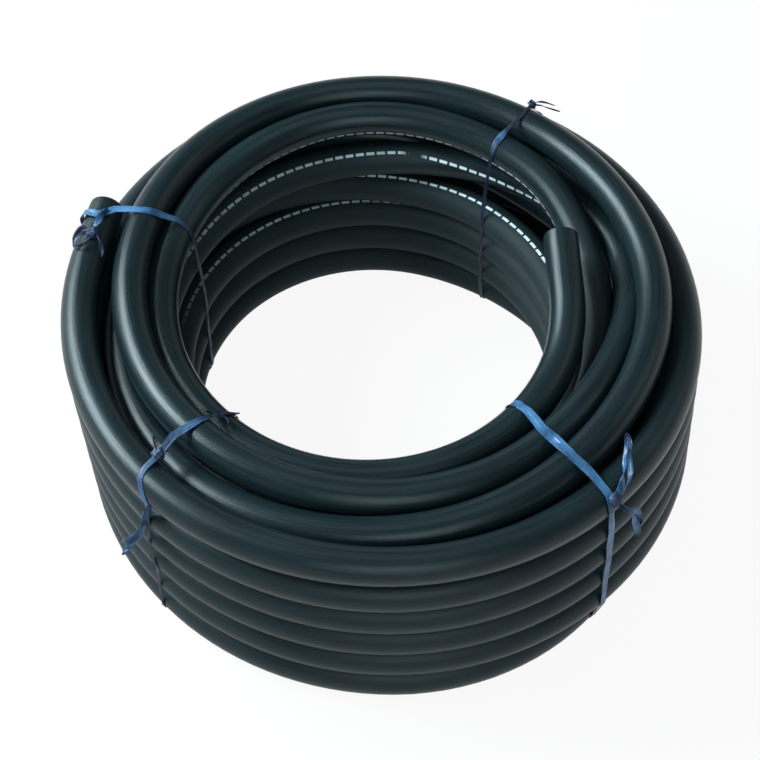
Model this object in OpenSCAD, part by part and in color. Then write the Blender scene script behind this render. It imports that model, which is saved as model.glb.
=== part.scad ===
// Soaker hose: one long rubber hose wound by hand into a coil and bound with four film ties.
// The coil lies flat. +Z is up, the front is towards -Y, and the coil stands on Z = 0.

/* [Hose] */
// Outside diameter of the hose
hose_d = 20; // [18:0.5:22]
// Diameter of the hose's bore
bore_d = 13; // [8:0.5:14]
// Length of the cut end beyond the coil, at each end of the hose
cut_end_l = 15; // [10:1:30]

/* [Coil] */
// Mean radius of the innermost turns, to the middle of the hose
eye_r = 120; // [110:1:150]
// How far the eye lies towards the left
eye_left = 3.6; // [0:0.2:6]
// How far the eye lies towards the back
eye_back = 9.2; // [0:0.2:12]
// How much the eye is drawn out from front to back, on its radius
eye_oval = 5.6; // [0:0.2:8]
// How far each row lies to the left of the row under it
eye_lean = 0.9; // [0:0.1:1]
// Free space between turns that lie side by side
lay_gap = 1; // [1:0.1:2]
// Mean closeness of the turns across the coil, as a share of side by side
lane_close = 0.85; // [0.84:0.01:0.95]
// How much looser the turns lie at the front right than at the back left
lane_skew = 0.18; // [0.1:0.01:0.18]
// Space between the winding and the plain core that it goes round
core_gap = 0.4; // [0.3:0.1:1]

/* [Ties] */
// Width of the flat film
film_w = 5; // [4:0.5:10]
// Thickness of the folded film
film_t = 0.5; // [0.3:0.1:1]
// Space between the film and the hose
film_gap = 0.5; // [0.4:0.1:1]
// Diameter of a knot
knot_d = 9; // [7:0.5:12]

/* [Hidden] */

hose_colour = [0.13, 0.17, 0.19];
core_colour = [0.08, 0.10, 0.11];
film_colour = [0.22, 0.38, 0.55];

round_sides = 64;                  // facets of the true round surfaces, which stay true circles
hose_r = hose_d / 2;
lay = hose_d + lay_gap;            // from the middle of one turn to the middle of the next
flat_cut = hose_d / 10;            // how deep the hose is pressed flat where it stands
base_z = hose_r - flat_cut;        // height of the lowest turns' middle
outline_x = -1.26;                 // moves the middle of the coil's outline to the origin
outline_y = -0.91;

// The winding, by stations: [turns from the inner end, lane, row]. Lane 0 is the wall of the eye
// and lane 3 the outer wall. Row 0 stands on the ground. Both count turns that lie side by side.
// Seen from above the hose runs clockwise.
winding = [
    // the inner end lies on top, along the eye
    [0.025, -0.35, 5.60], [0.095, -0.05, 5.00], [0.165, 0.00, 4.80], [0.32, 0.00, 4.70],
    [0.57, 0.18, 4.75],
    // it moves out at the back, passes the inner end and sinks
    [0.66, 0.20, 4.95], [0.74, 0.42, 5.20], [0.82, 0.75, 5.35], [0.88, 0.70, 5.25], [0.95, 0.90, 5.10],
    [0.98, 1.00, 4.85], [1.02, 0.68, 4.10], [1.07, 0.85, 3.85], [1.32, 0.85, 3.75], [1.57, 0.50, 3.80],
    [1.66, 0.10, 3.85], [1.82, 0.00, 4.10],
    // it comes up under itself and spirals out over the top
    [1.85, 0.22, 4.15], [1.89, 0.70, 4.15], [1.95, 1.50, 4.10], [1.98, 1.95, 4.00], [2.01, 2.05, 4.10],
    [2.04, 1.82, 4.46], [2.07, 1.55, 4.60], [2.16, 1.05, 4.95], [2.32, 1.00, 5.25], [2.44, 1.00, 5.34],
    [2.57, 1.15, 5.40], [2.66, 1.50, 5.40], [2.74, 1.95, 5.40], [2.82, 2.10, 5.40], [3.07, 2.22, 5.40],
    [3.17, 2.00, 5.35], [3.32, 2.00, 5.05],
    // it sinks between its neighbours and goes back to the eye
    [3.46, 1.92, 4.60], [3.57, 1.63, 4.42], [3.68, 1.50, 4.35], [3.82, 1.45, 4.40],
    [3.85, 1.55, 3.80], [3.88, 1.60, 3.30], [3.97, 1.85, 2.98], [4.07, 1.90, 3.20], [4.32, 1.85, 3.35],
    [4.57, 1.57, 3.10], [4.66, 1.30, 3.05],
    // down the wall of the eye, a row a turn
    [4.82, 0.00, 3.05], [7.90, 0.00, 0.00],
    // out along the ground
    [7.96, 0.50, 0.00], [8.10, 1.05, 0.00], [8.75, 1.48, 0.00], [9.10, 2.10, 0.00], [9.20, 2.65, 0.00],
    [9.27, 3.00, 0.05],
    // up the outer wall, a row a turn, to the outer end on top
    [14.07, 3.00, 4.78], [14.14, 3.00, 4.85], [14.32, 3.00, 5.20], [14.57, 3.00, 5.30],
    [14.62, 3.00, 5.35]];
lane_plan = [for (s = winding) [s[0], s[1]]];
row_plan = [for (s = winding) [s[0], s[2]]];
ease = 0.04;                       // turns before and after, over which the stations are smoothed
outer_lane = 3;
start_az = 26;                     // bearing of station 0, anticlockwise from the right
loop_rings = 24;                   // rings in one loop of the hose
ring_sides = 6;
first_turn = 0.063;                // where the curved winding starts
turn_step = 0.002;                 // for the way that the hose runs at a turn
ring_count = 349;
last_turn = first_turn + ring_count / loop_rings;

core_top_row = 2.98;               // the lowest row that lies over the plain core

tie_rear_left_az = 159;
tie_rear_right_az = 57;
tie_front_left_az = -134;
tie_front_right_az = -49;
tie_azimuths = [tie_rear_left_az, tie_rear_right_az, tie_front_left_az, tie_front_right_az];

// Each knot: [turn that it lies on, angle above outwards]
rear_left_knot = [13.631, -28];
rear_right_knot = [13.914, 80];
front_left_knot = [14.444, 100];
front_right_knot = [14.208, 50];

// Each tail, from point to point: [outwards, anticlockwise, upwards] from the knot, in hose diameters
rear_left_tails = [[[0, 0, 0], [0.30, 0.45, -0.55]], [[0, 0, 0], [0.35, -0.30, 0.45]],
                   [[0, 0, 0], [0.30, 0.05, -0.85]]];
rear_right_tails = [[[0, 0, 0], [-0.24, -0.85, 0.37]], [[0, 0, 0], [0.10, 0.10, 0.40]]];
front_left_tails = [[[0, 0, 0], [1.00, 0, -0.35]], [[1.00, 0, -0.35], [0.95, -0.60, -3.60]],
                    [[0.95, -0.60, -3.60], [1.05, -0.90, -2.00]], [[0, 0, 0], [-0.35, 0.25, 0.15]]];
front_right_tails = [[[0, 0, 0], [-1.18, 1.50, 0.26]], [[0, 0, 0], [0.20, 0.20, -0.50]],
                     [[0.20, 0.20, -0.50], [0.20, 1.03, -2.74]]];
tie_lift_angle = 20;               // the ground pinches the hose up this far beside a tie
under_gap = 0.1;                   // between the film under the coil and the hose
tail_d = 2;                        // thickness of a twisted film tail
knot_sides = 12;
tail_sides = 8;
film_sides = 16;                   // facets of the bend round one turn of the hose

function azimuth(turn) = start_az - 360 * turn;
function eye_wall(az) =
    eye_r - eye_left * cos(az) + eye_back * sin(az) - eye_oval * cos(2 * az);
function lane_width(az) = lay * (lane_close + lane_skew * cos(az + 45));
function lane_radius(az, lane) = eye_wall(az) + lane * lane_width(az);
function eased(turn, plan) =
    (lookup(turn - ease, plan) + lookup(turn - ease / 2, plan) + lookup(turn, plan)
     + lookup(turn + ease / 2, plan) + lookup(turn + ease, plan)) / 5;
function row_z(row) = base_z + row * lay;
function polar(r, az, z) = [r * cos(az) + outline_x, r * sin(az) + outline_y, z];

// The middle of the hose at a given turn, and the way that it runs there
function middle(turn) =
    let (az = azimuth(turn), row = eased(turn, row_plan))
    polar(lane_radius(az, eased(turn, lane_plan)), az, row_z(row)) - [eye_lean * row, 0, 0];
function unit(v) = v / norm(v);
function heading(turn) = unit(middle(turn + turn_step) - middle(turn - turn_step));

// A straight stretch of one diameter leads to each cut end
function ring_turn(i) = first_turn + i / loop_rings;
inner_way = -heading(first_turn);
outer_way = heading(last_turn);
inner_joint = middle(first_turn) + hose_d * inner_way;
outer_joint = middle(last_turn) + hose_d * outer_way;
rings = concat([[inner_joint, -inner_way]],
               [for (i = [0 : ring_count]) [middle(ring_turn(i)), heading(ring_turn(i))]],
               [[outer_joint, outer_way]]);

// The least space between two passes of the hose, and the length of all its passes
function least(list) = min([for (v = list) v]);
function sum(list, i = 0) = i < len(list) ? list[i] + sum(list, i + 1) : 0;
half_loop = loop_rings / 2;
least_gap = least([for (i = [1 : ring_count - half_loop])
    least([for (j = [i + half_loop : ring_count + 1]) norm(rings[i][0] - rings[j][0])])]) - hose_d;
hose_length = 2 * cut_end_l
    + sum([for (i = [1 : ring_count + 2]) norm(rings[i][0] - rings[i - 1][0])]);
echo(least_gap_mm = least_gap, hose_length_mm = hose_length);

// The ground under a ring of the hose: flat, and higher by the film where a tie passes under it
function apart(a, b) = abs((a - b + 540) % 360 - 180);
function by_tie(az) = least([for (t = tie_azimuths) apart(az + 720, t)]) < tie_lift_angle;
function ground(p) =
    by_tie(atan2(p.y - outline_y, p.x - outline_x)) ? film_t + under_gap : 0;
function ring_point(p, way, a) =
    let (side = unit(cross(way, [0, 0, 1])),
         q = p + hose_r * (cos(a) * side + sin(a) * cross(side, way)))
    [q.x, q.y, max(q.z, ground(p))];

// The middle of the hose between two rings, in the upright plane of a tie
function between(turn) =
    let (i = floor((turn - first_turn) * loop_rings), part = (turn - first_turn) * loop_rings - i)
    middle(ring_turn(i)) * (1 - part) + middle(ring_turn(i + 1)) * part;
function in_plane(p, az) =
    [(p.x - outline_x) * cos(az) + (p.y - outline_y) * sin(az), p.z];
film_half_angle = asin(film_w / 2 / eye_r);
function passes(az) =
    [for (k = [0 : ceil(last_turn)]) for (side = [-1, 0, 1])
        let (turn = k + (start_az - az - side * film_half_angle) / 360)
        if (turn >= first_turn && turn < last_turn) in_plane(between(turn), az)];
outer_end_passes = [for (s = [0, cut_end_l])
    in_plane(outer_joint + s * outer_way, tie_rear_left_az)];

module hose_coil() {
    last = len(rings) - 1;
    points = [for (ring = rings) for (k = [0 : ring_sides - 1])
        ring_point(ring[0], ring[1], k * 360 / ring_sides)];
    walls = [for (i = [0 : last - 1]) for (k = [0 : ring_sides - 1])
        let (a = i * ring_sides + k, b = i * ring_sides + (k + 1) % ring_sides)
        for (face = [[a, a + ring_sides, b], [b, a + ring_sides, b + ring_sides]]) face];
    caps = [for (k = [1 : ring_sides - 2])
        for (face = [[0, k, k + 1],
                     [last * ring_sides, last * ring_sides + k + 1, last * ring_sides + k]]) face];
    color(hose_colour) polyhedron(points = points, faces = concat(walls, caps));
}

// The hidden turns inside the coil, as one plain ring
module coil_core() {
    bearings = [for (i = [0 : loop_rings - 1]) azimuth(ring_turn(i))];
    half_lean = eye_lean * core_top_row / 2;
    inside = hose_r + core_gap;
    inner = [for (az = bearings) (lane_radius(az, 0) + inside + half_lean) * [cos(az), sin(az)]];
    outer = [for (az = bearings)
        (lane_radius(az, outer_lane) - inside - half_lean) * [cos(az), sin(az)]];
    color(core_colour) translate([outline_x - half_lean, outline_y, base_z + inside])
        linear_extrude(row_z(core_top_row) - base_z - 2 * inside) difference() {
            polygon(outer);
            polygon(inner);
        }
}

module hose_end(joint, way) {
    color(hose_colour) translate(joint) rotate([0, acos(way.z), atan2(way.y, way.x)])
        linear_extrude(cut_end_l) difference() {
            circle(d = hose_d, $fn = round_sides);
            circle(d = bore_d, $fn = round_sides);
        }
}

module inner_hose_end() { hose_end(inner_joint, inner_way); }

module outer_hose_end() { hose_end(outer_joint, outer_way); }

// The outline of the turns, at a distance from their middles, above a floor
module wrap(middles, reach, floor_z) {
    intersection() {
        hull() for (p = middles) translate(p) circle(reach, $fn = film_sides);
        translate([0, floor_z]) square(outer_lane * eye_r);
    }
}

// A band of film right round the coil, with its knot on one turn and its tails
module tie(az, middles, knot_turn, knot_angle, tails) {
    knot_reach = hose_r + film_gap / 2 + knot_d / 2;
    knot = in_plane(between(knot_turn), az) + knot_reach * [cos(knot_angle), sin(knot_angle)];
    color(film_colour) {
        translate([outline_x, outline_y, 0]) rotate([90, 0, az])
            linear_extrude(film_w, center = true) difference() {
                wrap(middles, hose_r + film_gap + film_t, 0);
                wrap(middles, hose_r + film_gap, film_t);
            }
        translate(polar(knot.x, az, knot.y)) rotate([0, 0, az]) {
            sphere(d = knot_d, $fn = knot_sides);
            for (tail = tails) hull() for (point = tail)
                translate(hose_d * point) sphere(d = tail_d, $fn = tail_sides);
        }
    }
}

module tie_rear_left() {
    tie(tie_rear_left_az, concat(passes(tie_rear_left_az), outer_end_passes),
        rear_left_knot[0], rear_left_knot[1], rear_left_tails);
}

module tie_rear_right() {
    tie(tie_rear_right_az, passes(tie_rear_right_az),
        rear_right_knot[0], rear_right_knot[1], rear_right_tails);
}

module tie_front_left() {
    tie(tie_front_left_az, passes(tie_front_left_az),
        front_left_knot[0], front_left_knot[1], front_left_tails);
}

module tie_front_right() {
    tie(tie_front_right_az, passes(tie_front_right_az),
        front_right_knot[0], front_right_knot[1], front_right_tails);
}

hose_coil();
coil_core();
inner_hose_end();
outer_hose_end();
tie_rear_left();
tie_rear_right();
tie_front_left();
tie_front_right();
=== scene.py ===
import math

import bpy
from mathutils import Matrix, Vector, noise


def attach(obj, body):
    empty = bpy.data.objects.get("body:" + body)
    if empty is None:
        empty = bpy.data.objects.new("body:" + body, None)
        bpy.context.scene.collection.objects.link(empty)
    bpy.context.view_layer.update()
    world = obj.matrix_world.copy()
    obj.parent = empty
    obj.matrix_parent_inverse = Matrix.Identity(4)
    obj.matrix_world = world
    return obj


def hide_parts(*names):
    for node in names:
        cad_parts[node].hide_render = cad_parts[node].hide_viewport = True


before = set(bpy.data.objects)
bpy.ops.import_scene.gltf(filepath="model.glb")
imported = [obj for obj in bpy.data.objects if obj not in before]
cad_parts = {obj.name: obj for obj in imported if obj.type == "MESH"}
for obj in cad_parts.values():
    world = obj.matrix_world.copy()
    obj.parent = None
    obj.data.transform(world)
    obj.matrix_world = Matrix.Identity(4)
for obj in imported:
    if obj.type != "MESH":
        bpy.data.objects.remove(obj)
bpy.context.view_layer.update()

# The camera looks down on the front of the coil, a little over half way to straight down.
bpy.ops.object.select_all(action="DESELECT")
bpy.ops.object.camera_add(location=(-0.00284, -0.67531, 0.8690),
                          rotation=(math.radians(39.32), 0, 0))
camera = bpy.context.object
camera.data.sensor_width = 36
camera.data.lens = 85.70
bpy.context.scene.camera = camera

# The hose: one length of black crumb rubber pipe, extruded in one go and wound by hand.
# Its inner end lies on top along the eye. From there it makes the top turns, goes down the wall
# of the eye, out along the ground, and up the outer wall to its outer end at the rear left.
HOSE_D = 0.020
BORE_D = 0.013
CUT_END = 0.015
LAY = HOSE_D + 0.001  # from the middle of one turn to the middle of the next
BASE_Z = 0.008  # height of the lowest turns' middle: the ground presses their underside flat
OUTLINE = (-0.00126, -0.00091)  # the point that bearings and radii are taken from
EYE_R, EYE_LEFT, EYE_BACK, EYE_OVAL = 0.120, 0.0036, 0.0092, 0.0056
LANE_CLOSE, LANE_SKEW = 0.85, 0.18  # how close the lanes lie, and how much that varies
LEAN = 0.0009  # how far each row lies to the left of the row under it
START_BEARING = 26
FIRST_TURN = 0.063
LAST_TURN = FIRST_TURN + 349 / 24
EASE = 0.04  # turns, each way, over which a pass to the next lane or row is eased
TIE_BEARINGS = {"rear_left": 159, "rear_right": 57, "front_left": -134, "front_right": -49}
WINDING = [  # (turns from the inner end, lane from the eye outwards, row from the ground up)
    (0.025, -0.35, 5.60), (0.095, -0.05, 5.00), (0.165, 0.00, 4.80), (0.32, 0.00, 4.70),
    (0.57, 0.18, 4.75), (0.66, 0.20, 4.95), (0.74, 0.42, 5.20), (0.82, 0.75, 5.35),
    (0.88, 0.70, 5.25), (0.95, 0.90, 5.10), (0.98, 1.00, 4.85), (1.02, 0.68, 4.10),
    (1.07, 0.85, 3.85), (1.32, 0.85, 3.75), (1.57, 0.50, 3.80), (1.66, 0.10, 3.85),
    (1.82, 0.00, 4.10), (1.85, 0.22, 4.15), (1.89, 0.70, 4.15), (1.95, 1.50, 4.10),
    (1.98, 1.95, 4.00), (2.01, 2.05, 4.10), (2.04, 1.82, 4.46), (2.07, 1.55, 4.60),
    (2.16, 1.05, 4.95), (2.32, 1.00, 5.25), (2.44, 1.00, 5.34), (2.57, 1.15, 5.40),
    (2.66, 1.50, 5.40), (2.74, 1.95, 5.40), (2.82, 2.10, 5.40), (3.07, 2.22, 5.40),
    (3.17, 2.00, 5.35), (3.32, 2.00, 5.05), (3.46, 1.92, 4.60), (3.57, 1.63, 4.42),
    (3.68, 1.50, 4.35), (3.82, 1.45, 4.40), (3.85, 1.55, 3.80), (3.88, 1.60, 3.30),
    (3.97, 1.85, 2.98), (4.07, 1.90, 3.20), (4.32, 1.85, 3.35), (4.57, 1.57, 3.10),
    (4.66, 1.30, 3.05), (4.82, 0.00, 3.05), (7.90, 0.00, 0.00), (7.96, 0.50, 0.00),
    (8.10, 1.05, 0.00), (8.75, 1.48, 0.00), (9.10, 2.10, 0.00), (9.20, 2.65, 0.00),
    (9.27, 3.00, 0.05), (14.07, 3.00, 4.78), (14.14, 3.00, 4.85), (14.32, 3.00, 5.20),
    (14.57, 3.00, 5.30), (14.62, 3.00, 5.35)]


def lookup(at, table, column):
    """A column of a table whose rows are sorted by their first value, in straight steps."""
    if at <= table[0][0]:
        return table[0][column]
    for a, b in zip(table, table[1:]):
        if at <= b[0]:
            return a[column] + (b[column] - a[column]) * (at - a[0]) / (b[0] - a[0])
    return table[-1][column]


def eased(turn, table, column):
    return sum(lookup(turn + EASE * s, table, column) for s in (-1, -0.5, 0, 0.5, 1)) / 5


def lane_radius(bearing, lane):
    a = math.radians(bearing)
    wall = EYE_R - EYE_LEFT * math.cos(a) + EYE_BACK * math.sin(a) - EYE_OVAL * math.cos(2 * a)
    return wall + lane * LAY * (LANE_CLOSE + LANE_SKEW * math.cos(a + math.pi / 4))


def place(radius, bearing, z):
    a = math.radians(bearing)
    return Vector((OUTLINE[0] + radius * math.cos(a), OUTLINE[1] + radius * math.sin(a), z))


def bearing_of(turn):
    return START_BEARING - 360 * turn


def middle(turn):
    """The middle of the hose, by turns from its inner end."""
    bearing, row = bearing_of(turn), eased(turn, WINDING, 2)
    upright = place(lane_radius(bearing, eased(turn, WINDING, 1)), bearing, BASE_Z + LAY * row)
    return upright - Vector((LEAN * row, 0, 0))


def heading(turn):
    return (middle(turn + 0.002) - middle(turn - 0.002)).normalized()


def square_to(way, angle):
    """A unit vector square to the way, at this angle up from the level side."""
    side = way.cross(Vector((0, 0, 1))).normalized()
    up = side.cross(way)
    return math.cos(angle) * side + math.sin(angle) * up


RINGS = 1900  # from the first turn to the last
SIDES = 28
END_RINGS = 12  # in the straight piece at each end
STRAIGHT = HOSE_D + CUT_END
line = []  # (middle, way, turn) from cut end to cut end
inner_way, outer_way = -heading(FIRST_TURN), heading(LAST_TURN)
for i in range(END_RINGS):
    back = STRAIGHT * (1 - i / END_RINGS)
    line.append((middle(FIRST_TURN) + back * inner_way, -inner_way, FIRST_TURN))
for i in range(RINGS + 1):
    turn = FIRST_TURN + (LAST_TURN - FIRST_TURN) * i / RINGS
    line.append((middle(turn), heading(turn), turn))
for i in range(1, END_RINGS + 1):
    line.append((middle(LAST_TURN) + STRAIGHT * i / END_RINGS * outer_way, outer_way, LAST_TURN))
last = len(line) - 1
run = [0.0]  # the distance along the hose
for a, b in zip(line, line[1:]):
    run.append(run[-1] + (b[0] - a[0]).length)

# Where the printed line lies round the hose, in degrees up from the side that faces the eye, and
# how much of it is left: the rubbing of turn on turn has worn it off in places.
PRINT_LINE = [  # (turns from the inner end, degrees, strength)
    (0.46, -24, 0.0), (0.50, -24, 0.2), (0.66, -24, 0.2), (0.74, -22, 0.6), (0.82, -22, 0.8),
    (0.875, -21, 0.8), (0.88, -21, 0.25), (0.90, -20, 0.25), (0.91, -20, 1.0),
    (0.98, -18, 1.0), (1.02, -18, 0.0), (1.55, 62, 0.0), (1.62, 62, 0.2), (1.76, 62, 0.6),
    (1.843, 62, 0.9), (1.846, 60, 0.0), (1.856, 50, 0.0), (1.859, 48, 1.0), (1.89, 24, 1.0),
    (1.93, 0, 1.0), (1.98, -20, 1.0), (2.02, -60, 0.0), (2.10, -120, 0.0), (4.50, -120, 0.0),
    (4.60, 70, 0.0), (4.66, 70, 0.35), (4.74, 72, 0.9), (4.82, 78, 1.0), (4.88, 82, 1.0),
    (4.97, 84, 1.0), (5.02, 84, 0.0), (5.60, 78, 0.0), (5.66, 78, 0.3), (5.74, 78, 0.6),
    (5.87, 78, 0.6), (5.89, 78, 0.0), (6.00, 60, 0.0), (6.60, 0, 0.0), (14.70, 0, 0.0)]

# The turns in the wall of the eye keep the matt bloom that handling has rubbed off on top, and
# those of the outer wall keep a part of it.
BLOOM = [  # (turns from the inner end, how matt)
    (0.95, 0.0), (1.10, 1.0), (1.80, 1.0), (1.90, 0.0), (4.50, 0.0), (4.62, 1.0), (7.90, 1.0),
    (8.20, 0.35), (13.00, 0.35), (13.80, 0.10)]

# The hose's underside is flat on the ground, and a little above it by each tie, where the film
# passes under.
FILM_ROOM = 0.0006
ROOM_REACH, ROOM_FADE = 20, 6  # degrees either side of a tie


def ground(p):
    bearing = math.degrees(math.atan2(p.y - OUTLINE[1], p.x - OUTLINE[0]))
    near = min(abs((bearing - t + 180) % 360 - 180) for t in TIE_BEARINGS.values())
    return FILM_ROOM * min(1, max(0, (ROOM_REACH - near) / ROOM_FADE))


def hose_point(point, way, radius, k):
    p = point + radius * square_to(way, 2 * math.pi * k / SIDES)
    p.z = max(p.z, ground(p))
    return p


def add_tube(name, mesh):
    """An object of this mesh, with its faces turned outwards and its sides smooth."""
    mesh.update()
    made = bpy.data.objects.new(name, mesh)
    bpy.context.collection.objects.link(made)
    bpy.ops.object.select_all(action="DESELECT")
    made.select_set(True)
    bpy.context.view_layer.objects.active = made
    bpy.ops.object.mode_set(mode="EDIT")
    bpy.ops.mesh.select_all(action="SELECT")
    bpy.ops.mesh.normals_make_consistent(inside=False)
    bpy.ops.object.mode_set(mode="OBJECT")
    bpy.ops.object.shade_smooth_by_angle(angle=math.radians(40))
    return made


# The skin comes out of one bore, over the cut face with its softened edges, along the hose, and
# into the other bore. Each bore is open for a few rings.
BORE_RINGS = 6
outer_r, bore_r = HOSE_D / 2, BORE_D / 2
CUT_FACE = [  # (shift along the hose, radius, distance for the finish), from the bore outwards
    (0.0003, bore_r, 0), (0, bore_r + 0.0004, 0), (0, outer_r - 0.0007, 0),
    (0.0002, outer_r - 0.0002, 0.0002)]
rings = []  # (index in line, shift along it, radius, distance for the finish)
rings += [(i, 0, bore_r, run[i]) for i in range(BORE_RINGS, 0, -1)]
rings += [(0, shift, radius, far) for shift, radius, far in CUT_FACE]
rings += [(i, 0, outer_r, run[i]) for i in range(1, last)]
rings += [(last, -shift, radius, run[last] - far) for shift, radius, far in reversed(CUT_FACE)]
rings += [(i, 0, bore_r, run[i]) for i in range(last - 1, last - BORE_RINGS - 1, -1)]
points, faces, wraps = [], [], []
for i, shift, radius, _ in rings:
    point, way, _ = line[i]
    points += [hose_point(point + shift * way, way, radius, k) for k in range(SIDES)]
for r in range(len(rings) - 1):
    for k in range(SIDES):
        a, b = r * SIDES + k, r * SIDES + (k + 1) % SIDES
        faces.append((a, b, b + SIDES, a + SIDES))
        wraps.append(((r, k), (r, k + 1), (r + 1, k + 1), (r + 1, k)))
for end, order in ((0, range(SIDES - 1, -1, -1)), (len(rings) - 1, range(SIDES))):
    faces.append(tuple(end * SIDES + k for k in order))
    wraps.append(tuple((end, k) for k in order))
hose_mesh = bpy.data.meshes.new("hose")
hose_mesh.from_pydata([tuple(p) for p in points], [], faces)
along = hose_mesh.uv_layers.new(name="along")
corners = [corner for wrap in wraps for corner in wrap]
for spot, (r, k) in zip(along.data, corners):
    turn = line[rings[r][0]][2]
    spot.uv = (rings[r][3], k / SIDES - lookup(turn, PRINT_LINE, 1) / 360)
for name, table, column in (("print left", PRINT_LINE, 2), ("bloom", BLOOM, 1)):
    mark = hose_mesh.attributes.new(name, "FLOAT", "POINT")
    for r, ring in enumerate(rings):
        value = lookup(line[ring[0]][2], table, column)
        for k in range(SIDES):
            mark.data[r * SIDES + k].value = value
hose = add_tube("hose", hose_mesh)


# Short forms of the shader nodes that the materials below are made of.
def new_material(name):
    made = bpy.data.materials.new(name)
    made.use_nodes = True
    return made, made.node_tree, made.node_tree.nodes["Principled BSDF"]


def node(tree, kind, inputs=None, **settings):
    made = tree.nodes.new(kind)
    for name, value in settings.items():
        setattr(made, name, value)
    for name, value in (inputs or {}).items():
        if isinstance(value, bpy.types.NodeSocket):
            tree.links.new(value, made.inputs[name])
        else:
            made.inputs[name].default_value = value
    return made


def math_node(tree, operation, a, b=0.0):
    return node(tree, "ShaderNodeMath", {0: a, 1: b}, operation=operation).outputs[0]


def ranged(tree, value, low, high, to_low, to_high):
    return node(tree, "ShaderNodeMapRange", {"Value": value, "From Min": low, "From Max": high,
                                             "To Min": to_low, "To Max": to_high}).outputs[0]


def two_tone(tree, value, low, high):
    """A ramp between two (position, colour) ends."""
    made = node(tree, "ShaderNodeValToRGB", {"Fac": value})
    for i, (position, colour) in enumerate((low, high)):
        made.color_ramp.elements[i].position = position
        made.color_ramp.elements[i].color = (*colour, 1)
    return made.outputs[0]


def blend(tree, share, first, second):
    return node(tree, "ShaderNodeMix", {0: share, 6: first, 7: second},
                data_type="RGBA").outputs[2]


def noise_node(tree, where, **inputs):
    return node(tree, "ShaderNodeTexNoise", {"Vector": where, **inputs}).outputs[0]


rubber, tree, shader = new_material("hose rubber")
position = node(tree, "ShaderNodeTexCoord").outputs["Object"]
uv = node(tree, "ShaderNodeUVMap", uv_map="along").outputs[0]
parts = node(tree, "ShaderNodeSeparateXYZ", {"Vector": uv})
run_at, round_at = parts.outputs[0], parts.outputs[1]

# faint streaks that the die leaves along the hose, and the mottling of crumb rubber
round_angle = math_node(tree, "MULTIPLY", round_at, 2 * math.pi)
streak_place = node(tree, "ShaderNodeCombineXYZ", {
    "X": math_node(tree, "MULTIPLY", run_at, 2.2), "Y": math_node(tree, "SINE", round_angle),
    "Z": math_node(tree, "COSINE", round_angle)}).outputs[0]
streaks = noise_node(tree, streak_place, Scale=9.0, Detail=5.0, Roughness=0.65)
mottle = noise_node(tree, position, Scale=26.0, Detail=4.0)
grain = noise_node(tree, position, Scale=1400.0, Detail=2.0)
mixed = math_node(tree, "ADD", math_node(tree, "MULTIPLY", streaks, 0.65),
                  math_node(tree, "MULTIPLY", mottle, 0.35))
tint = two_tone(tree, mixed, (0.36, (0.0026, 0.0078, 0.0098)), (0.66, (0.0066, 0.0160, 0.0196)))

# a line of plain pale dashes where such a hose carries its print, soft at its edges
DASH_STEP = 0.0066  # from one printed dash to the next
dash_place = math_node(tree, "ABSOLUTE", math_node(tree, "SUBTRACT", math_node(
    tree, "FRACT", math_node(tree, "DIVIDE", run_at, DASH_STEP)), 0.5))
dash = ranged(tree, dash_place, 0.35, 0.40, 1.0, 0.0)
off_line = math_node(tree, "ABSOLUTE", math_node(
    tree, "SUBTRACT", math_node(tree, "FRACT", math_node(tree, "ADD", round_at, 0.5)), 0.5))
in_line = ranged(tree, off_line, 0.0115, 0.0165, 1.0, 0.0)
wear = ranged(tree, noise_node(tree, position, Scale=70.0, Detail=2.0), 0.30, 0.55, 0.55, 1.0)
print_left = node(tree, "ShaderNodeAttribute", attribute_name="print left").outputs["Fac"]
printed = math_node(tree, "MULTIPLY", math_node(tree, "MULTIPLY", dash, in_line),
                    math_node(tree, "MULTIPLY", wear, print_left))
tree.links.new(blend(tree, printed, tint, (0.50, 0.66, 0.70, 1)), shader.inputs["Base Color"])

# a satin surface, matt where the bloom is left
polish = ranged(tree, streaks, 0.3, 0.7, 0.25, 0.35)
bloom = node(tree, "ShaderNodeAttribute", attribute_name="bloom").outputs["Fac"]
tree.links.new(math_node(tree, "ADD", polish, math_node(tree, "MULTIPLY", bloom, 0.40)),
               shader.inputs["Roughness"])
shader.inputs["Specular IOR Level"].default_value = 0.27
shader.inputs["Specular Tint"].default_value = (0.78, 0.95, 1.0, 1)
relief = math_node(tree, "ADD", math_node(tree, "MULTIPLY", grain, 0.4), streaks)
bump = node(tree, "ShaderNodeBump", {"Height": relief, "Strength": 0.25, "Distance": 0.0006})
tree.links.new(bump.outputs[0], shader.inputs["Normal"])
hose.data.materials.append(rubber)

# The turns hidden inside the coil: the same hose, laid against the outer wall in two rows, with a
# rise from one row to the next. They show only as dark rubber between the turns round them.
HIDDEN_D = 0.0196
HIDDEN_SIDES = 16
HIDDEN_STEPS = 173
HIDDEN_FROM, HIDDEN_TURNS = 0.1, 1.8
HIDDEN_RISE = [(0.9, 0.0286), (1.1, 0.0494)]  # (turns, height of the middle)
HIDDEN_GAP = 0.0006  # free space to the outer wall
OUTER_LANE = 3
hidden_line = []
for i in range(HIDDEN_STEPS + 1):
    turn = HIDDEN_FROM + HIDDEN_TURNS * i / HIDDEN_STEPS
    height = eased(turn, HIDDEN_RISE, 1)
    wall = lane_radius(bearing_of(turn), OUTER_LANE) - HOSE_D / 2 - HIDDEN_D / 2 - HIDDEN_GAP
    lean = Vector((LEAN * (height - BASE_Z) / LAY, 0, 0))
    hidden_line.append(place(wall, bearing_of(turn), height) - lean)
hidden_points, hidden_faces = [], []
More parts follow.
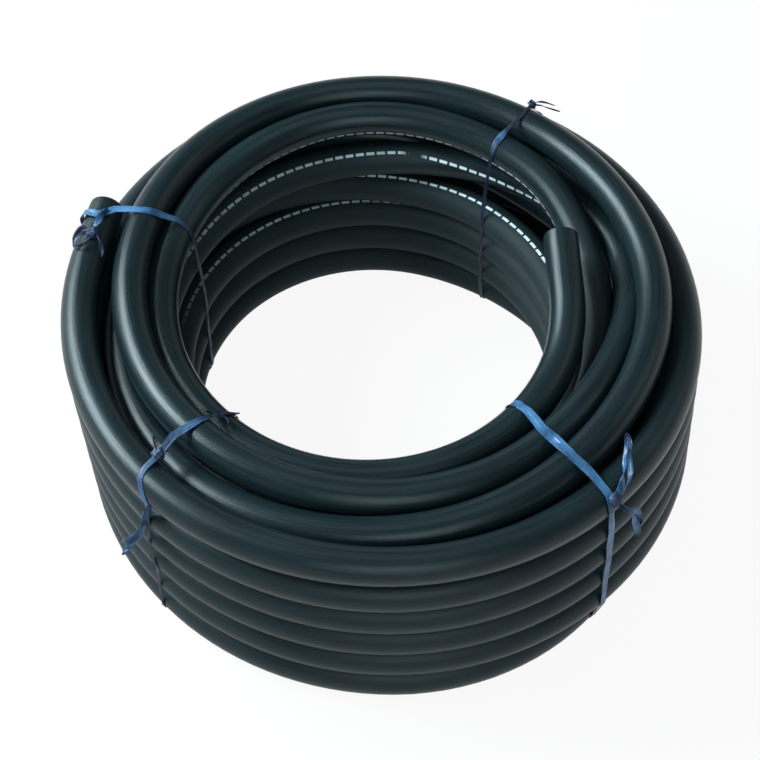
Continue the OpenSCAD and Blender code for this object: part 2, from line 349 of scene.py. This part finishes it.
for i, centre in enumerate(hidden_line):
    way = (hidden_line[min(i + 1, HIDDEN_STEPS)] - hidden_line[max(i - 1, 0)]).normalized()
    for k in range(HIDDEN_SIDES):
        spoke = square_to(way, 2 * math.pi * k / HIDDEN_SIDES)
        hidden_points.append(tuple(centre + HIDDEN_D / 2 * spoke))
        if i:
            b = (i - 1) * HIDDEN_SIDES + k
            c = (i - 1) * HIDDEN_SIDES + (k + 1) % HIDDEN_SIDES
            hidden_faces.append((b, c, c + HIDDEN_SIDES, b + HIDDEN_SIDES))
hidden_faces.append(tuple(range(HIDDEN_SIDES - 1, -1, -1)))
hidden_faces.append(tuple(HIDDEN_STEPS * HIDDEN_SIDES + k for k in range(HIDDEN_SIDES)))
hidden_mesh = bpy.data.meshes.new("hidden_turns")
hidden_mesh.from_pydata(hidden_points, [], hidden_faces)
hidden = add_tube("hidden_turns", hidden_mesh)
hidden_rubber, tree, shader = new_material("hidden rubber")
position = node(tree, "ShaderNodeTexCoord").outputs["Object"]
mottle = noise_node(tree, position, Scale=60.0, Detail=4.0)
tint = two_tone(tree, mottle, (0.0, (0.0030, 0.0080, 0.0110)), (1.0, (0.0070, 0.0160, 0.0210)))
tree.links.new(tint, shader.inputs["Base Color"])
shader.inputs["Roughness"].default_value = 0.6
shader.inputs["Specular IOR Level"].default_value = 0.2
hidden.data.materials.append(hidden_rubber)

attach(hose, "root")
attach(hidden, "root")
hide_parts("hose_coil", "inner_hose_end", "outer_hose_end")
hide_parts("coil_core")

# The ties: strips of thin blue plastic film, wound once round the coil by hand, pulled into a
# narrow crinkled band and knotted, with the ends of the strip left to stick out.
FILM_T = 0.00022
FILM_REACH = HOSE_D / 2 + 0.00045  # from the hose's middle to the film
FILM_FLOOR = 0.0003  # the lowest that the middle of a band comes
BAND_STEP, TAIL_STEP = 0.0022, 0.0012
CORNER_STEP = 0.2  # radians
STRIP_COLUMNS = 8
OPEN_WIDTH, ROPED = 0.0044, 0.0022  # the width of a single layer, and how much narrower a rope is
KNOT_LAYERS = 0.7
TAIL_TURNS = 0.6


def passes(bearing):
    """Where the hose crosses the upright plane at this bearing: (radius, height)."""
    crossings = []
    for k in range(math.ceil(LAST_TURN) + 1):
        turn = k + (START_BEARING - bearing) / 360
        if FIRST_TURN <= turn <= LAST_TURN:
            crossings.append(middle(turn))
    if bearing > 150:  # the tie at the rear left also holds the outer cut end
        crossings += [middle(LAST_TURN) + HOSE_D * s * outer_way for s in (1.0, 1.5)]
    return [(math.hypot(p.x - OUTLINE[0], p.y - OUTLINE[1]), p.z) for p in crossings]


def half_hull(pts):
    """One side of the tight outline of sorted points, without its last point."""
    out = []
    for p in pts:
        while len(out) > 1 and ((out[-1][0] - out[-2][0]) * (p[1] - out[-2][1])
                                - (out[-1][1] - out[-2][1]) * (p[0] - out[-2][0])) <= 0:
            out.pop()
        out.append(p)
    return out[:-1]


def wrap_line(bearing):
    """The tight line of film round those passes, as evenly spaced (radius, height) points."""
    pts = sorted(passes(bearing))
    hull = half_hull(pts) + half_hull(reversed(pts))
    path = []
    for i, p in enumerate(hull):
        before, after = hull[i - 1], hull[(i + 1) % len(hull)]
        a0 = math.atan2(-(p[0] - before[0]), p[1] - before[1])
        a1 = math.atan2(-(after[0] - p[0]), after[1] - p[1])
        while a1 < a0:
            a1 += 2 * math.pi
        steps = max(2, int((a1 - a0) / CORNER_STEP))
        for s in range(steps + 1):
            a = a0 + (a1 - a0) * s / steps
            path.append((p[0] + FILM_REACH * math.cos(a),
                         max(p[1] + FILM_REACH * math.sin(a), FILM_FLOOR)))
    path.append(path[0])
    total = [0.0]
    for a, b in zip(path, path[1:]):
        total.append(total[-1] + math.dist(a, b))
    count = int(total[-1] / BAND_STEP)
    even, j = [], 0
    for i in range(count + 1):
        s = total[-1] * i / count
        while j < len(path) - 2 and total[j + 1] < s:
            j += 1
        f = (s - total[j]) / max(1e-9, total[j + 1] - total[j])
        even.append((path[j][0] + f * (path[j + 1][0] - path[j][0]),
                     path[j][1] + f * (path[j + 1][1] - path[j][1])))
    return even


def ribbon(centres, normals, widths, seed, depth):
    """A strip of film along the centres, facing the normals, with lengthwise crinkles.
    Where it is narrow the film lies in more layers, and looks darker. The depth is the least."""
    rows = len(centres) - 1
    bpy.ops.object.select_all(action="DESELECT")
    bpy.ops.mesh.primitive_grid_add(x_subdivisions=rows, y_subdivisions=STRIP_COLUMNS, size=1)
    strip = bpy.context.object
    layers = strip.data.attributes.new("layers", "FLOAT", "POINT")
    row_of = [round((v.co.x + 0.5) * rows) for v in strip.data.vertices]
    for v, i in zip(strip.data.vertices, row_of):
        t = v.co.y
        way = (centres[min(rows, i + 1)] - centres[max(0, i - 1)]).normalized()
        across = normals[i].cross(way).normalized()
        out = way.cross(across)
        fold = noise.noise(Vector((i * 0.11, t * 7.0, seed))) + 0.5 * noise.noise(
            Vector((i * 0.35, t * 15.0, seed + 9)))
        edge = noise.noise(Vector((i * 0.16, 3.0 if t > 0 else -3.0, seed)))
        v.co = (centres[i] + across * t * widths[i] * (1 + 0.25 * edge)
                + out * 0.0004 * (fold + 0.5))
        v.co.z = max(v.co.z, 0.0002)
        layers.data[v.index].value = min(1, max(depth, (OPEN_WIDTH - widths[i]) / ROPED))
    return strip


def join(parts):
    bpy.ops.object.select_all(action="DESELECT")
    for part in parts:
        part.select_set(True)
    bpy.context.view_layer.objects.active = parts[0]
    bpy.ops.object.join()
    return bpy.context.object


def finish_film(strips, name):
    """The strips of a tie as one object, with the film's thickness."""
    tie = join(strips)
    tie.name = name
    bpy.ops.object.transform_apply(location=True, rotation=True, scale=True)
    thick = tie.modifiers.new("film", "SOLIDIFY")
    thick.thickness = FILM_T
    thick.offset = 0
    bpy.ops.object.modifier_apply(modifier="film")
    bpy.ops.object.shade_smooth_by_angle(angle=math.radians(50))
    return tie


def smooth_line(stops, count):
    """Points on a smooth line through the stops."""
    ends = [stops[0]] + list(stops) + [stops[-1]]
    out = []
    for i in range(count + 1):
        u = i / count * (len(stops) - 1)
        j = min(int(u), len(stops) - 2)
        t = u - j
        p0, p1, p2, p3 = ends[j], ends[j + 1], ends[j + 2], ends[j + 3]
        out.append(0.5 * (2 * p1 + (p2 - p0) * t + (2 * p0 - 5 * p1 + 4 * p2 - p3) * t * t
                          + (3 * p1 - p0 - 3 * p2 + p3) * t ** 3))
    return out


def all_round(rows):
    """A table by degrees round the coil's section, with a row past each end so that it closes."""
    first, final = rows[0], rows[-1]
    return [(final[0] - 360,) + final[1:]] + rows + [(first[0] + 360,) + first[1:]]


def band(bearing, seed, route, depth):
    """The strip right round the coil. The route says how far it strays along the coil and how
    wide it is, by the angle round the section: 0 at the outer wall, 90 on top, 180 in the eye."""
    route = all_round(route)
    flat = wrap_line(bearing)
    high = max(z for r, z in flat)
    mid = sum(r for r, z in flat) / len(flat)
    loops = {}

    def angle_of(r, z):
        return math.degrees(math.atan2(z - high / 2, r - mid)) % 360

    def wrapped(at, turned):
        """The tight line at another bearing: (radius, height) at this angle round the section."""
        at = round(at * 2) / 2
        if at not in loops:
            loops[at] = all_round(sorted((angle_of(r, z), r, z) for r, z in wrap_line(at)[:-1]))
        return lookup(turned, loops[at], 1), lookup(turned, loops[at], 2)

    centres, widths = [], []
    for i, (r, z) in enumerate(flat):
        turned = angle_of(r, z)
        at = bearing + lookup(turned, route, 1)
        r, z = wrapped(at, turned)
        centres.append(place(r, at, z))
        squeeze = noise.noise(Vector((i * 0.05, seed, 1.7)))
        widths.append(lookup(turned, route, 2) * (1 + 0.2 * squeeze))
    centres[-1], widths[-1] = centres[0], widths[0]
    inside = place(mid, bearing, high / 2)
    across = Vector((-math.sin(math.radians(bearing)), math.cos(math.radians(bearing)), 0))
    normals = []
    for i, c in enumerate(centres):
        way = centres[(i + 1) % (len(centres) - 1)] - centres[(i - 1) % (len(centres) - 1)]
        out = way.cross(across).normalized()
        normals.append(out if out.dot(c - inside) > 0 else -out)
    return ribbon(centres, normals, widths, seed, depth)


def knot(centre, size, seed):
    bpy.ops.object.select_all(action="DESELECT")
    bpy.ops.mesh.primitive_uv_sphere_add(segments=24, ring_count=14, radius=size / 2)
    lump = bpy.context.object
    for v in lump.data.vertices:
        n = v.co.normalized()
        crease = noise.noise(n * 2.6 + Vector((seed, 0, 0))) + 0.6 * abs(
            noise.noise(n * 6 + Vector((0, seed, 0))))
        v.co = centre + v.co * (0.82 + 0.42 * crease)
    layers = lump.data.attributes.new("layers", "FLOAT", "POINT")
    for mark in layers.data:
        mark.value = KNOT_LAYERS
    return lump


def tail(stops, width, seed, depth):
    """A loose end of film along the stops, turning about itself, that narrows to its tip."""
    count = max(12, int(sum((b - a).length for a, b in zip(stops, stops[1:])) / TAIL_STEP))
    centres = smooth_line(stops, count)
    normals, widths = [], []
    for i in range(count + 1):
        way = (centres[min(i + 1, count)] - centres[max(i - 1, 0)]).normalized()
        base = way.cross(Vector((0.3, 0.2, 1))).normalized()
        up = base.cross(way)
        a = 2 * math.pi * TAIL_TURNS * i / count + seed
        normals.append(math.cos(a) * up + math.sin(a) * base)
        swell = math.sin(math.pi * min(1, 0.12 + 0.88 * i / count)) ** 0.6
        widths.append(width * (0.35 + 0.65 * swell))
    return ribbon(centres, normals, widths, seed, depth)


def local(bearing, radius, z):
    """A place by its bearing, and its radius and height in hose diameters."""
    return place(radius * HOSE_D, bearing, z * HOSE_D)


film, tree, shader = new_material("blue film")
position = node(tree, "ShaderNodeTexCoord").outputs["Object"]
crinkle = noise_node(tree, position, Scale=330.0, Detail=4.0, Distortion=0.6)
cloud = noise_node(tree, position, Scale=95.0, Detail=3.0)
tint = two_tone(tree, cloud, (0.34, (0.010, 0.045, 0.110)), (0.64, (0.045, 0.150, 0.300)))
layers = node(tree, "ShaderNodeAttribute", attribute_name="layers").outputs["Fac"]
tree.links.new(blend(tree, layers, tint, (0.0014, 0.0055, 0.0200, 1)),
               shader.inputs["Base Color"])
tree.links.new(ranged(tree, layers, 0.0, 1.0, 0.34, 0.55), shader.inputs["Roughness"])
shader.inputs["Specular IOR Level"].default_value = 0.3
shader.inputs["Coat Weight"].default_value = 0.06
shader.inputs["Coat Roughness"].default_value = 0.15
bump = node(tree, "ShaderNodeBump", {"Height": crinkle, "Strength": 0.7, "Distance": 0.0006})
tree.links.new(bump.outputs[0], shader.inputs["Normal"])

# Each tie has its route, as (degrees round the section, degrees along the coil, width), its knots,
# as (bearing, radius, height, size), and its tails, as (stops, width). Radii and heights of knots
# and stops are in hose diameters. The depth is the least share of the layers that it lies in.
ties = {
    "rear_left": dict(
        seed=1.3, depth=0.0,
        route=[(0, 0, 0.0038), (45, 1, 0.0044), (62, 2.6, 0.0050), (71, 3.2, 0.0052),
               (77, 0.8, 0.0050), (90, -0.8, 0.0048), (101, -2.8, 0.0046), (107, -4.2, 0.0040),
               (112, -4.2, 0.0030), (124, -3.2, 0.0024), (160, -3.4, 0.0022),
               (185, -3.0, 0.0022), (205, -1.6, 0.0024), (240, 0, 0.0030), (300, 0, 0.0036)],
        knots=[(167.4, 8.38, 6.60, 0.0075)],
        tails=[([(160.5, 8.33, 6.58), (163, 8.38, 6.64), (165.5, 8.38, 6.66),
                 (167.4, 8.38, 6.62)], 0.0040),
               ([(167.4, 8.38, 6.6), (168.6, 8.70, 6.68), (170.6, 8.80, 6.50),
                 (171, 8.55, 6.62), (168.8, 8.36, 6.68)], 0.0028),
               ([(167.4, 8.38, 6.6), (166.4, 8.72, 6.62), (167.6, 8.92, 6.40),
                 (169.6, 8.86, 6.36)], 0.0026),
               ([(167.4, 8.38, 6.6), (169, 8.12, 6.60), (170.4, 8.00, 6.42),
                 (171.6, 7.98, 6.30)], 0.0026)]),
    "rear_right": dict(
        seed=4.1, depth=0.0,
        route=[(0, 1, 0.0022), (67, 1.6, 0.0022), (84, 1.1, 0.0021), (97, 2.3, 0.0026),
               (102, 2.7, 0.0046), (107, 2.9, 0.0040), (114, 3.0, 0.0022), (150, 2.5, 0.0022),
               (172, 1.5, 0.0020), (235, 1.5, 0.0021), (270, 1, 0.0022)],
        knots=[(58.7, 8.70, 6.36, 0.0056)],
        tails=[([(58.7, 8.70, 6.38), (56.5, 8.66, 6.50), (54.9, 8.65, 6.54),
                 (52.6, 8.78, 6.50)], 0.0011),
               ([(58.7, 8.70, 6.38), (57.2, 8.72, 6.56), (55.6, 8.76, 6.62),
                 (54.0, 8.82, 6.60)], 0.0010),
               ([(58.7, 8.70, 6.38), (58.9, 8.62, 6.56), (58.4, 8.58, 6.68)], 0.0014)]),
    "front_left": dict(
        seed=7.7, depth=0.55,
        route=[(0, 1.0, 0.0020), (16, 1.3, 0.0022), (43, 2.6, 0.0026), (53, 3.2, 0.0034),
               (57, 1.9, 0.0036), (61, 0.5, 0.0040), (66, 0, 0.0036), (75, -0.3, 0.0038),
               (85, -1.5, 0.0040), (97, -0.8, 0.0040), (104, -0.6, 0.0030), (116, -2.2, 0.0024),
               (124, -1.0, 0.0022), (150, 0, 0.0024), (270, 0, 0.0024), (303, 1.4, 0.0024),
               (317, 1.8, 0.0018), (340, 2.2, 0.0026), (351, 0.8, 0.0018)],
        knots=[(-134.4, 8.22, 6.44, 0.0072), (-135.2, 7.96, 6.34, 0.0048)],
        tails=[([(-136.4, 6.40, 6.40), (-136.6, 6.12, 6.02), (-135.2, 5.89, 5.98),
                 (-133.6, 5.68, 5.90), (-132.4, 5.62, 5.96)], 0.0016),
               ([(-136.2, 6.25, 6.14), (-134.2, 6.00, 6.02), (-132.2, 6.06, 6.00),
                 (-131.6, 6.16, 6.02)], 0.0013),
               ([(-134.4, 8.22, 6.44), (-135.9, 8.10, 6.60), (-137.4, 8.02, 6.66)], 0.0022),
               ([(-130.9, 9.22, 5.70), (-131.4, 9.26, 5.02), (-133.3, 9.38, 4.25),
                 (-135.3, 9.58, 3.62), (-135.6, 9.62, 3.18)], 0.0070),
               ([(-135.6, 9.62, 3.22), (-134.8, 9.50, 3.62), (-133.2, 9.32, 4.20),
                 (-132.0, 9.22, 4.80)], 0.0046)]),
    "front_right": dict(
        seed=9.2, depth=0.1,
        route=[(0, -1.0, 0.0042), (16, -1.1, 0.0042), (39, -1.3, 0.0042), (52, -1.9, 0.0040),
               (58, -1.2, 0.0044), (72, -1.2, 0.0052), (81, -1.8, 0.0054), (105, -0.4, 0.0054),
               (120, 2.2, 0.0052), (128, 2.4, 0.0048), (180, 2, 0.0044), (270, 0, 0.0042),
               (321, -0.9, 0.0042), (345, -1.1, 0.0042)],
        knots=[(-50, 9.14, 6.02, 0.0080)],
        tails=[([(-49.6, 9.15, 6.08), (-47.2, 8.98, 6.18), (-44.7, 8.71, 6.30),
                 (-41.5, 8.40, 6.42), (-39.7, 8.18, 6.50)], 0.0050),
               ([(-49.2, 9.20, 6.10), (-46.2, 9.05, 6.28), (-43.2, 8.62, 6.44),
                 (-41.0, 8.30, 6.60)], 0.0034),
               ([(-50, 9.20, 6.00), (-48.8, 9.44, 5.70), (-47.9, 9.52, 5.36),
                 (-47.2, 9.66, 4.90), (-47.1, 9.70, 4.56)], 0.0042),
               ([(-50, 9.20, 5.95), (-48.6, 9.48, 5.72), (-46.6, 9.52, 5.40),
                 (-46.0, 9.58, 4.98), (-46.4, 9.60, 4.70)], 0.0036)]),
}
for name, spec in ties.items():
    seed, depth = spec["seed"], spec["depth"]
    strips = [band(TIE_BEARINGS[name], seed, spec["route"], depth)]
    for i, (stops, width) in enumerate(spec["tails"]):
        strips.append(tail([local(*stop) for stop in stops], width, seed + i, depth))
    tie = finish_film(strips, "tie_" + name + "_film")
    lumps = [knot(local(*at), size, seed) for *at, size in spec["knots"]]
    bpy.ops.object.select_all(action="DESELECT")
    for lump in lumps:
        lump.select_set(True)
    bpy.ops.object.shade_smooth()
    tie = join([tie] + lumps)
    tie.data.materials.append(film)
    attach(tie, "root")
    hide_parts("tie_" + name)

# The floor: a plain pale sheet that keeps the coil's shadow, under plain studio light.
bpy.ops.object.select_all(action="DESELECT")
bpy.ops.mesh.primitive_plane_add(size=8)
floor = bpy.context.object
floor.name = "floor"
paper, tree, shader = new_material("white paper")
shader.inputs["Base Color"].default_value = (0.60, 0.60, 0.60, 1)
shader.inputs["Roughness"].default_value = 0.9
# it glows white for the eye and in reflections, but doesn't light the hose from below
white = node(tree, "ShaderNodeEmission", {"Color": (1, 1, 1, 1), "Strength": 1.0})
ray = node(tree, "ShaderNodeLightPath")
looked_at = math_node(tree, "MAXIMUM", ray.outputs["Is Camera Ray"],
                      math_node(tree, "MAXIMUM", ray.outputs["Is Glossy Ray"],
                                ray.outputs["Is Transmission Ray"]))
glow = node(tree, "ShaderNodeMixShader", {0: math_node(tree, "MULTIPLY", looked_at, 0.92),
                                          1: shader.outputs[0], 2: white.outputs[0]})
tree.links.new(glow.outputs[0], tree.nodes["Material Output"].inputs["Surface"])
floor.data.materials.append(paper)


# Two large softboxes at the left make the long highlights, and weaker ones fill in.
def lamp(name, location, size, power, colour):
    bpy.ops.object.light_add(type="AREA", location=location)
    made = bpy.context.object
    made.name = name
    made.data.size = size
    made.data.energy = power
    made.data.color = colour
    aim = Vector((0, 0, 0.05)) - Vector(location)
    made.rotation_euler = aim.to_track_quat("-Z", "Y").to_euler()


lamp("left softbox", (-1.45, 0.18, 1.2), 0.80, 56, (0.90, 0.97, 1.0))
lamp("left rear softbox", (-1.32, 0.85, 1.15), 0.80, 38, (0.90, 0.97, 1.0))
lamp("right softbox", (1.5, 0.5, 1.3), 0.8, 2.5, (0.92, 0.98, 1.0))
lamp("front softbox", (0.2, -1.6, 1.3), 1.2, 16, (0.92, 0.98, 1.0))
lamp("top softbox", (0.1, 0.3, 1.9), 0.9, 3, (0.95, 0.98, 1.0))

# The studio: brighter near the horizon than overhead.
world = bpy.context.scene.world or bpy.data.worlds.new("studio")
bpy.context.scene.world = world
world.use_nodes = True
tree = world.node_tree
tree.nodes.clear()
height = node(tree, "ShaderNodeSeparateXYZ",
              {"Vector": node(tree, "ShaderNodeTexCoord").outputs["Generated"]}).outputs[2]
level = ranged(tree, height, 0.15, 0.45, 0.75, 0.12)
sky = node(tree, "ShaderNodeBackground", {"Color": (1, 1, 1, 1), "Strength": level})
node(tree, "ShaderNodeOutputWorld", {"Surface": sky.outputs[0]})

bpy.context.scene.view_settings.view_transform = "Standard"
